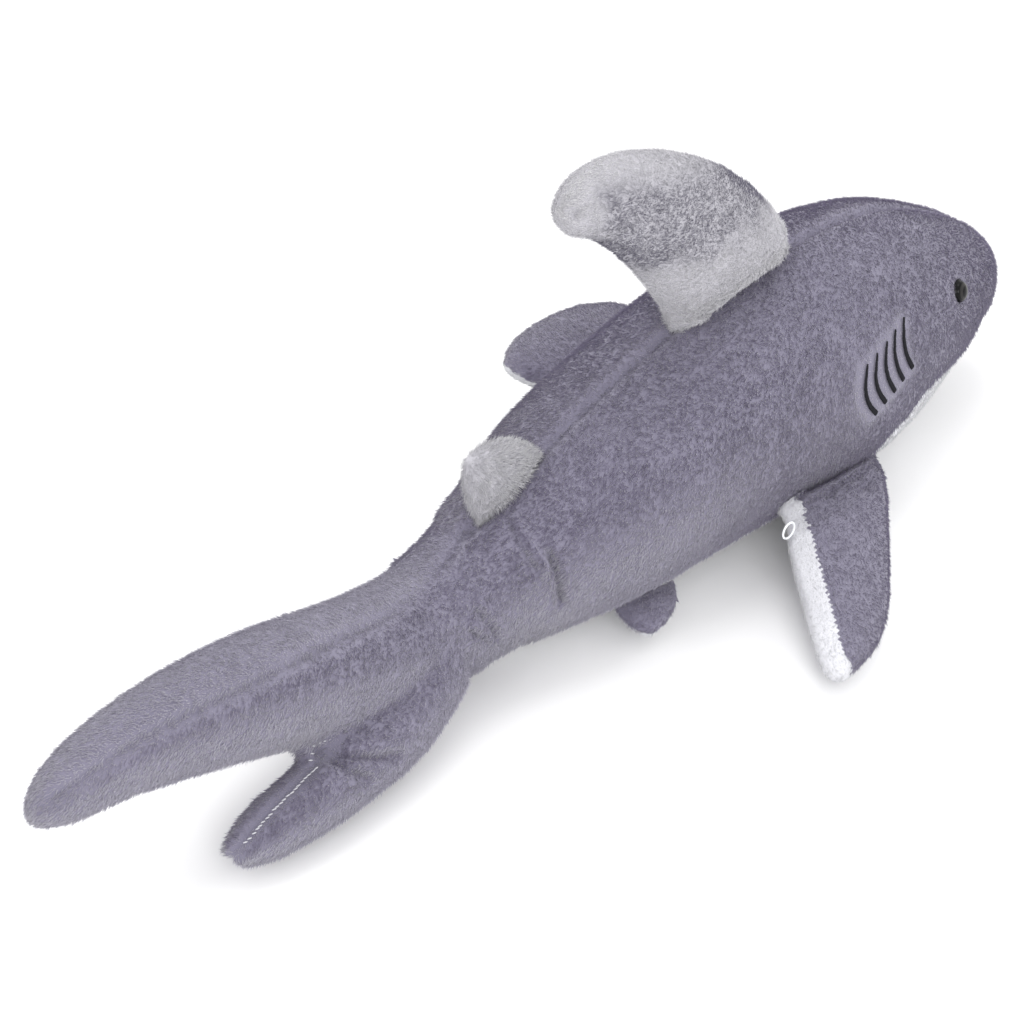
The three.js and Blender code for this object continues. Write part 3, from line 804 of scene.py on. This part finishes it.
def plan_coat(mesh, lean, length, colour, lift=0.5, cover=1.0):
    """Everything a fibre needs to know, for each of the skin's points."""
    points, normals = arrays(mesh)
    count = len(points)
    lean = np.broadcast_to(np.asarray(lean, float), (count, 3))
    swirl = (0.3 * soft_noise(points, 40) + 0.1 * soft_noise(points, 12, 7.0))[:, None]
    flat = unit(lean - normals * (lean * normals).sum(1, keepdims=True))
    flat = flat * np.cos(swirl) + np.cross(normals, flat) * np.sin(swirl)
    return {
        "lean": flat,
        "lift": np.broadcast_to(lift, count) + 0.04 * soft_noise(points, 14, 3.0),
        "length": np.broadcast_to(length, count) * (1 + 0.06 * soft_noise(points, 9, 5.0)),
        "colour": np.broadcast_to(colour, (count, 3)),
        "cover": np.broadcast_to(cover, count),
    }


def plant(name, mesh, coat, density, width, seed, faces=None, tip=1.2, painted_root_shade=0.6):
    """Plants fibres over some faces of a skin and returns them as one object."""
    rng = np.random.default_rng(seed)
    points, normals = arrays(mesh)
    mesh.calc_loop_triangles()
    corners = np.empty(len(mesh.loop_triangles) * 3, int)
    mesh.loop_triangles.foreach_get("vertices", corners)
    corners = corners.reshape(-1, 3)
    if faces is not None:
        corners = corners[faces(points[corners].mean(1))]
    sides = points[corners]
    area = np.linalg.norm(np.cross(sides[:, 1] - sides[:, 0], sides[:, 2] - sides[:, 0]), axis=1) / 2
    weight = area * coat["cover"][corners].mean(1)
    count = int(weight.sum() / MM**2 * density)
    chosen = np.searchsorted(np.cumsum(weight), rng.random(count) * weight.sum())
    chosen = corners[np.minimum(chosen, len(corners) - 1)]
    a, b = rng.random((2, count))
    over = a + b > 1
    a[over], b[over] = 1 - a[over], 1 - b[over]
    share = np.stack([1 - a - b, a, b], 1)

    def at(values):
        values = values[chosen]
        return (values * share[:, :, None]).sum(1) if values.ndim == 3 else (values * share).sum(1)

    normal = unit(at(normals))
    lean = unit(at(coat["lean"])) + 0.22 * rng.standard_normal((count, 3))
    aim = unit(unit(lean) + normal * (at(coat["lift"]) + 0.12 * rng.standard_normal(count))[:, None])
    across = unit(np.cross(aim, normal))
    third = np.cross(aim, across)
    tall = at(coat["length"]) * (0.75 + 0.5 * rng.random(count)) * MM
    thick = width * MM * (0.7 + 0.6 * rng.random(count)) / 2
    foot = at(points) - normal * 0.35 * MM
    shape = FIBRE_POINTS
    cloud = (
        foot[:, None]
        + (shape[None, :, :1] * thick[:, None, None]) * across[:, None]
        + (shape[None, :, 1:2] * thick[:, None, None]) * third[:, None]
        + (shape[None, :, 2:] * tall[:, None, None]) * aim[:, None]
    )
    shade = at(coat["colour"]) * (0.88 + 0.24 * rng.random(count))[:, None]
    # Painted light on each fibre: its root is painted darker, as the shade among the fibres, and its tip paler, as
    # painted rim light.
    tint = shade[:, None] * np.where(shape[:, 2] > 0.5, tip, painted_root_shade)[None, :, None]
    return build_many(name, cloud, FIBRE_FACES, pile, tint)


def build_many(name, cloud, faces, material, tint=None):
    """One object from many copies of a small shape, whose points are given copy by copy."""
    count, each = cloud.shape[:2]
    corners = (faces[None] + each * np.arange(count)[:, None, None]).reshape(-1, 3)
    mesh = bpy.data.meshes.new(name)
    mesh.vertices.add(count * each)
    mesh.vertices.foreach_set("co", cloud.astype(np.float32).ravel())
    mesh.loops.add(corners.size)
    mesh.loops.foreach_set("vertex_index", corners.astype(np.int32).ravel())
    mesh.polygons.add(len(corners))
    mesh.polygons.foreach_set("loop_start", np.arange(0, corners.size, 3, dtype=np.int32))
    mesh.update()
    if tint is not None:
        layer = mesh.color_attributes.new("coat", "FLOAT_COLOR", "POINT")
        rgba = np.ones((count * each, 4), np.float32)
        rgba[:, :3] = np.clip(tint, 0, 1).reshape(-1, 3)
        layer.data.foreach_set("color", rgba.ravel())
    mesh.materials.append(material)
    made = bpy.data.objects.new(name, mesh)
    bpy.context.collection.objects.link(made)
    print(name, "has", count, "pieces,", len(corners), "triangles")
    return made


DENSITY = 0.7 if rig.quick() else 2.3
print("fibres are planted at", DENSITY, "to the square millimetre")


# %% Which panel is nearest
def panel_trees(nodes):
    trees = {}
    for node in nodes:
        bm = bmesh.new()
        bm.from_mesh(frame["nodes"][node].data)
        trees[node] = BVHTree.FromBMesh(bm)
        bm.free()
    return trees


def nearest_share(points, firsts, others):
    """1 where a point is nearest one of the first panels, 0 where it is nearest another."""
    first, other = panel_trees(firsts), panel_trees(others)
    share = np.empty(len(points))
    for i, point in enumerate(points.tolist()):
        near = min(tree.find_nearest(point)[3] for tree in first.values())
        far = min(tree.find_nearest(point)[3] for tree in other.values())
        share[i] = near < far
    return share


def blend_colours(share, first, second):
    share = np.asarray(share)[:, None]
    return np.asarray(first) * share + np.asarray(second) * (1 - share)


# %% The body's coat
def body_plan(mesh):
    """The coat of the torso and the tail: colour, with painted rim light and painted shade, lean and length for every
    point of the skin.
    """
    points, normals = arrays(mesh)
    along = points[:, 0] / MM
    white = nearest_share(points, ["belly_panel"], TORSO[:2] + TAIL[:2] + LOWER[:2])
    patches = 0.4 * soft_noise(points, 50, 2.0) + 0.1 * soft_noise(points, 14, 9.0)
    brushed = np.clip(0.5 + patches, 0, 1)
    seams = back_seam + ridge_seam + lower_seam
    seam_near = np.exp(-((distance_to(points, seams) / MM / 2.2) ** 2))
    crease_near = np.exp(-((distance_to(points, fold_points + crotch) / MM / 1.2) ** 2))
    gill_away = np.maximum(distance_to(points, gill_points) / MM - 2.0, 0)
    gill_near = np.exp(-((gill_away / 3.0) ** 2))
    eye_away = distance_to(points, eyes) / MM
    # Painted rim light: where the normals don't point up, on the flanks and the underside, the pile is painted paler,
    # most on the tail. The tail's tip is painted paler too.
    side = 1 - step(normals[:, 2], 0.0, 0.62)
    painted_rim_light = side * (0.3 + 0.7 * (1 - step(along, 0, 90))) + 0.7 * (1 - step(along, -252, -225))
    # The tail beyond its ridge seam, towards its outline, gets the same painted rim light.
    ridge_side = np.interp(along, *zip(*sorted((x, y) for x, y, z in RIDGE)))
    behind = step(points[:, 1] / MM - ridge_side, -1, 2) * (1 - step(along, -90, -55))
    painted_rim_light = np.maximum(painted_rim_light, 0.8 * behind)
    grey = blend_colours(brushed, GREY, DUSK)
    grey = blend_colours(np.clip(painted_rim_light, 0, 1) * 0.75, PALE, grey)
    grey = blend_colours(seam_near * 0.6, PALE, grey)
    grey = blend_colours(gill_near * 0.95, (0.66, 0.65, 0.7), grey)
    # Painted shade: a thin dark line along the grooves of the back seam and the tail's ridge seam.
    painted_seam_shade = np.exp(-((distance_to(points, back_seam + ridge_seam) / MM / 0.9) ** 2))
    grey = blend_colours(painted_seam_shade * 0.6, (0.2, 0.18, 0.26), grey)
    # Painted shade: the creases of the folds and the crotch between the lobes are painted near black.
    grey = blend_colours(crease_near * 0.7, (0.08, 0.07, 0.11), grey)
    # Painted shadow: a dark ring in the fur round each sunk eye.
    painted_eye_shadow = np.exp(-(((eye_away - 5.0) / 1.3) ** 2))
    grey = blend_colours(painted_eye_shadow * 0.75, (0.05, 0.045, 0.06), grey)
    lean = np.tile([-1.0, 0.0, -0.3], (len(points), 1)) + 1.8 * parted(points, seams, 5)
    length = 2.8 * (1 - 0.5 * seam_near) * (1 - 0.6 * crease_near) * (1 - 0.72 * gill_near)
    length *= (1 - 0.3 * np.exp(-((eye_away / 7) ** 2))) * (1 - 0.3 * white)
    cover = np.where(eye_away < 4.2, 0, 1)
    colour = blend_colours(white, WHITE, grey)
    return white, plan_coat(mesh, lean, length, colour, lift=0.5, cover=cover)


white, body_coat = body_plan(body_skin.data)
print("white share of the body:", round(float(white.mean()), 2))

# %% Plant the body's coat in bands
BODY_SEED = 20
FIBRE_WIDTH = 0.42
BAND_EDGES = [300, 190, 135, 85, 35, -20, -80, -150, -300]
body_pile = []
for number, (front, rear) in enumerate(zip(BAND_EDGES, BAND_EDGES[1:])):

    def inside(centres, front=front, rear=rear):
        return (centres[:, 0] < front * MM) & (centres[:, 0] >= rear * MM)

    name = f"body_pile_{number + 1}"
    seed = BODY_SEED + number
    body_pile.append(
        plant(name, body_skin.data, body_coat, DENSITY, FIBRE_WIDTH, seed, inside)
    )

# %% The fins' coats
FIN_PLANS = {
    "dorsal_fin": dict(base=(0.8, 0.79, 0.82), length=3.0),
    "second_dorsal_fin": dict(base=(0.56, 0.55, 0.59), length=4.2),
    "right_pectoral_fin": dict(base=GREY, length=2.4),
    "left_pectoral_fin": dict(base=GREY, length=2.4),
    "right_pelvic_fin": dict(base=GREY, length=2.4),
    "left_pelvic_fin": dict(base=GREY, length=2.4),
}


def trailing_gap(local):
    """How far each point is from its fin's trailing edge, along the root's direction, in mm."""
    bands = np.clip((local[:, 2] / (2 * MM)).astype(int), 0, 200)
    rear = np.array([local[bands == b, 0].min() if (bands == b).any() else 0 for b in range(201)])
    return (local[:, 0] - rear[bands]) / MM


def white_share(body, points, local):
    """The under panel is white, and on the right pectoral fin it rolls over the trailing edge."""
    under = [n for n in FINS[body] if "under" in n]
    top = [n for n in FINS[body] if "top" in n]
    share = nearest_share(points, under, top)
    if body == "right_pectoral_fin":
        height = local[:, 2] / MM
        share = np.maximum(share, trailing_gap(local) < 8.5 - 3.5 * step(height, 50, 72))
    return share


fin_pile, fin_white = {}, {}
for number, (body, plan) in enumerate(FIN_PLANS.items()):
    mesh = fin_skins[body].data
    points, normals = arrays(mesh)
    origin, axes = fin_axes[body]
    local = (points - origin) @ axes.T
    height = local[:, 2] / MM
    patches = 0.5 * soft_noise(points, 30, 4.0) + 0.08 * soft_noise(points, 8, 1.0)
    brushed = np.clip(0.5 + patches, 0, 1)
    colour = blend_colours(brushed, plan["base"], np.array(plan["base"]) * 0.84)
    lean = -axes[0] + 0.7 * axes[2]
    cover, length = 1.0, plan["length"]
    if body == "dorsal_fin":
        ragged = 5 * soft_noise(points, 9, 6.0)
        line = 36 + ragged - 0.1 * local[:, 0] / MM
        front_band = step(height + 0.45 * local[:, 0] / MM, 66, 78)
        dark = step(height, line - 6, line + 6) * (1 - front_band)
        dark = dark * step(local[:, 0] / MM, -46 + ragged, -34 + ragged)
        colour = blend_colours(dark, LILAC, colour)
        colour = blend_colours(step(height, 84, 96), (0.92, 0.91, 0.94), colour)
        cover = np.where(distance_to(points, [TIP_PINCH]) < 1.6 * MM, 0.05, 1)
    if body == "second_dorsal_fin":
        crown = points[np.argmax(height)]
        lean = points - crown
        length = plan["length"] * (0.7 + 0.3 * step(np.linalg.norm(lean, axis=1) / MM, 0, 14))
    if "pectoral" in body or "pelvic" in body:
        fin_white[body] = white_share(body, points, local)
        colour = blend_colours(fin_white[body], WHITE, colour)
        length = length * (1 - 0.3 * fin_white[body])
    fluffy = "dorsal" in body
    coat = plan_coat(mesh, lean, length, colour, lift=0.3 if fluffy else 0.45, cover=cover)
    # The dorsal fins' fibres take less painted shade at the roots and a little less painted light at the tips.
    fin_pile[body] = plant(
        f"{body}_pile",
        mesh,
        coat,
        DENSITY * (2.2 if fluffy else 1.2),
        0.28 if fluffy else 0.38,
        60 + number,
        tip=1.15 if fluffy else 1.2,
        painted_root_shade=0.8 if fluffy else 0.6,
    )

# %% [markdown]
# ## Skins take their fabrics and their places
#
# The backing colour follows the same panels as the pile. The body's skin crosses the tail's joint, so it
# bends between the torso and the tail. Each fin's skin bends between the torso and the fin, so its
# sewn root stays on the body while the rest flops.


# %% Dress the skins
def dress(obj, share, first, second):
    obj.data.materials.clear()
    obj.data.materials.append(second)
    obj.data.materials.append(first)
    corners = np.array([p.vertices[0] for p in obj.data.polygons])
    obj.data.polygons.foreach_set("material_index", (share[corners] > 0.5).astype(np.int32))


dress(body_skin, white, white_backing, grey_backing)
for body, skin in fin_skins.items():
    if "dorsal" in body:
        skin.data.materials.clear()
        skin.data.materials.append(silver_backing)
    else:
        dress(skin, fin_white[body], white_backing, grey_backing)

# %% Join the skins to the bodies
BEND_START = Vector((-35, 0, 35)) * MM
BEND_END = Vector((-125, 0, 35)) * MM
for piece in [body_skin] + body_pile:
    rearmost = min(v.co.x for v in piece.data.vertices)
    if rearmost < BEND_START.x:
        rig.blend(piece, "torso", "tail", start=BEND_START, end=BEND_END)
    else:
        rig.ride(piece, "torso")

FLEX = {
    "dorsal_fin": 34,
    "second_dorsal_fin": 12,
    "right_pectoral_fin": 22,
    "left_pectoral_fin": 22,
}
for body in FINS:
    origin, axes = fin_axes[body]
    start = Vector(origin - axes[2] * 2 * MM)
    end = Vector(origin + axes[2] * FLEX.get(body, 9) * MM)
    for piece in (fin_skins[body], fin_pile[body]):
        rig.blend(piece, "torso", body, start=start, end=end)
print("skins and pile joined to", 1 + len(FINS), "moving bodies")

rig.replaces(body_skin, *TORSO, *TAIL, *LOWER)
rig.padded(body_skin, fill=0.8)
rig.slot(body_skin, "grey_plush")
for piece in body_pile:
    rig.slot(piece, "grey_plush")
for body, nodes in FINS.items():
    slot = "pale_plush" if "dorsal" in body else "grey_plush"
    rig.replaces(fin_skins[body], *nodes)
    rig.padded(fin_skins[body], fill=0.5)
    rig.slot(fin_skins[body], slot)
    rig.slot(fin_pile[body], slot)

# %% [markdown]
# ## Stitches, eyes and the loop
#
# The gill slits are satin stitch: many short threads laid side by side across the line. The ladder
# stitches close the skin after filling. The eyes are moulded gloss plastic, and the loop is clear
# nylon.

# %% Thread and plastic materials
thread_look = Look("black_thread_look", Roughness=0.8, Specular_IOR_Level=0.08)
twist = thread_look.grain(3500, 1)
thread_colour = thread_look.mix(twist, (0.006, 0.006, 0.008, 1), (0.03, 0.03, 0.035, 1))
thread = thread_look.feed(Base_Color=thread_colour, Normal=thread_look.bump(twist, 0.5, 0.0002))
plain_look = Look("thread_grey", Specular_IOR_Level=0.3)
ply = plain_look.grain(3000, 1)
plain_colour = plain_look.mix(ply, (0.5, 0.5, 0.54, 1), (0.8, 0.8, 0.84, 1))
grey_thread = plain_look.feed(Base_Color=plain_colour, Normal=plain_look.bump(ply, 0.4, 0.0002))
nylon_look = Look("nylon_clear", Base_Color=(0.9, 0.93, 0.95, 1), Specular_IOR_Level=0.6)
cloudy = nylon_look.grain(600, 2)
nylon = nylon_look.feed(Roughness=cloudy * 0.1 + 0.2)
washer_look = Look("washer_plastic_look", Specular_IOR_Level=0.4)
mould = washer_look.grain(900, 2)
washer_colour = washer_look.mix(mould, (0.72, 0.72, 0.7, 1), (0.84, 0.84, 0.82, 1))
washer = washer_look.feed(Base_Color=washer_colour, Roughness=mould * 0.15 + 0.4)
print("materials for thread, eyes, nylon and washers are ready")

# %% [markdown]
# Each stitch is a short rounded thread, made once as a squashed ball and laid many times along a line
# on the skin. The gill slits start fine and grow heavier to the foot. The closing stitches cross the
# seam at a slant.

# %% Lay the stitches
bm = bmesh.new()
bmesh.ops.create_uvsphere(bm, u_segments=6, v_segments=5, radius=1)
bmesh.ops.triangulate(bm, faces=bm.faces)
STITCH_POINTS = np.array([v.co for v in bm.verts])
STITCH_FACES = np.array([[v.index for v in f.verts] for f in bm.faces])
bm.free()


def tree_of(mesh):
    return BVHTree.FromPolygons([v.co for v in mesh.vertices], [p.vertices for p in mesh.polygons])


def evenly(points, spacing):
    """Evenly spaced points along a bent line, each with the line's direction there."""
    points = np.array(points)
    gaps = np.linalg.norm(np.diff(points, axis=0), axis=1)
    run = np.concatenate([[0], np.cumsum(gaps)])
    places = np.arange(0, run[-1], spacing * MM)
    line = np.stack([np.interp(places, run, points[:, k]) for k in range(3)], 1)
    return line, unit(np.gradient(line, axis=0)), places / run[-1]


def stitches(name, tree, points, spacing, half, radius, slant, material, lift=0.3):
    """Threads laid across a line. half and radius are their sizes at its start and end, in mm."""
    line, ahead, share = evenly(points, spacing)
    share = share**0.6
    seats = [tree.find_nearest(Vector(p)) for p in line]
    seat = np.array([hit[0] for hit in seats])
    up = np.array([hit[1] for hit in seats])
    across = unit(np.cross(ahead, up))
    turn = np.radians(slant)
    long = unit(across * np.cos(turn) + ahead * np.sin(turn))
    side = np.cross(up, long)
    reach = (half[0] + (half[1] - half[0]) * share)[:, None] * MM
    thick = (radius[0] + (radius[1] - radius[0]) * share)[:, None] * MM
    seat = seat + up * lift * MM
    ball = STITCH_POINTS
    cloud = (
        seat[:, None]
        + ball[None, :, :1] * (long * reach)[:, None]
        + ball[None, :, 1:2] * (side * thick)[:, None]
        + ball[None, :, 2:] * (up * thick)[:, None]
    )
    return build_many(name, cloud, STITCH_FACES, material)


body_tree = tree_of(body_skin.data)
for node, line in gill_lines.items():
    down = sorted(line, key=lambda p: -p.z)
    name = f"{node}_threads"
    row = stitches(name, body_tree, down, 0.5, (0.5, 1.3), (0.34, 0.5), 8, thread, lift=0.9)
    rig.replaces(row, node)
    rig.ride(row, "torso")
    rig.slot(row, "black_thread")
closing = np.array([v.co for v in frame["nodes"]["closing_seam"].data.vertices])
closing = [g.mean(0) for g in np.array_split(closing[np.argsort(-closing[:, 0])], 14)]
ladder = stitches(
    "closing_stitches", body_tree, closing, 1.9, (1.1, 1.1), (0.3, 0.3), 50, grey_thread, lift=0.6
)
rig.replaces(ladder, "closing_seam")
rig.ride(ladder, "tail")
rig.slot(ladder, "grey_thread")

# %% [markdown]
# An eye is a turned shape: a domed face, a rolled rim and the shank that goes through the fabric. Its
# outline is spun round its own axis. The face is near black, with a slightly lighter ring round the
# middle, as a moulded eye has a pupil under the gloss.


# %% Spin the eyes
def eye_material(side):
    seat, axis = eye_axes[side]
    look = Look(f"{side}_eye_gloss", Specular_IOR_Level=0.12, Coat_Weight=0.06, Coat_Roughness=0.04)
    apart = look.node("ShaderNodeVectorMath", {"operation": "SUBTRACT"}, {0: look.place(), 1: seat})
    round_axis = look.node("ShaderNodeVectorMath", {"operation": "CROSS_PRODUCT"}, {0: apart, 1: axis})
    radius = look.node("ShaderNodeVectorMath", {"operation": "LENGTH"}, {0: round_axis}, out=1) * (1 / MM)
    ring_values = {0: radius, 1: 2.1, 2: 2.7}
    inner = look.node("ShaderNodeMapRange", {"interpolation_type": "SMOOTHSTEP"}, ring_values)
    outer = look.node("ShaderNodeMapRange", {"interpolation_type": "SMOOTHSTEP"}, {0: radius, 1: 3.3, 2: 3.9})
    speck = look.grain(700, 2)
    iris = inner * (1 - outer) * (speck * 0.5 + 0.6)
    colour = look.mix(iris, (0.003, 0.003, 0.0035, 1), (0.035, 0.033, 0.032, 1))
    return look.feed(Base_Color=colour, Roughness=speck * 0.05 + 0.1)


def spin_eye(side):
    seat, axis = eye_axes[side]
    outline = [(0, -11), (2, -11), (2, 0.3), (4.6, 0.3), (5.0, 0.7), (4.9, 1.2), (4.5, 1.6)]
    outline += [(4.4 * math.cos(a), 1.5 + 2.8 * math.sin(a)) for a in np.linspace(0.12, math.pi / 2, 9)[:-1]]
    outline += [(0, 4.3)]
    bm = bmesh.new()
    corners = [bm.verts.new((r * MM, 0, h * MM)) for r, h in outline]
    edges = [bm.edges.new(pair) for pair in zip(corners, corners[1:])]
    bmesh.ops.spin(
        bm, geom=corners + edges, cent=(0, 0, 0), axis=(0, 0, 1), angle=2 * math.pi, steps=40, use_merge=True
    )
    bmesh.ops.remove_doubles(bm, verts=bm.verts, dist=1e-6)
    bmesh.ops.recalc_face_normals(bm, faces=bm.faces)
    turn = axis.to_track_quat("Z", "Y").to_matrix().to_4x4()
    bmesh.ops.transform(bm, matrix=Matrix.Translation(seat) @ turn, verts=bm.verts)
    mesh = bpy.data.meshes.new(f"{side}_eye_dome")
    bm.to_mesh(mesh)
    bm.free()
    mesh.polygons.foreach_set("use_smooth", [True] * len(mesh.polygons))
    mesh.materials.append(eye_material(side))
    made = bpy.data.objects.new(f"{side}_eye_dome", mesh)
    bpy.context.collection.objects.link(made)
    return made


for side in ("right", "left"):
    eye = spin_eye(side)
    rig.replaces(eye, f"{side}_eye")
    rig.ride(eye, "torso")
    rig.slot(eye, "eye_plastic")
    print(eye.name, "has", len(eye.data.polygons), "faces")

# %% [markdown]
# The mouth line, the washers and the nylon loop keep their solid shapes and only get their materials.

# %% Finish the solid pieces
SOLID_LOOKS = {"mouth_stitch": thread, "tag_loop": nylon}
SOLID_LOOKS |= {f"{side}_eye_washer": washer for side in ("right", "left")}
for node, material in SOLID_LOOKS.items():
    frame["nodes"][node].material_slots[0].material = material
print("solid pieces with new materials:", len(SOLID_LOOKS))

# %% Write the sizes and finish
with open("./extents.json", "w") as out:
    boxes = {"solid": solid_box, "visual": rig.bounds()}
    json.dump({key: [list(map(float, corner)) for corner in box] for key, box in boxes.items()}, out)
print(open("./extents.json").read())
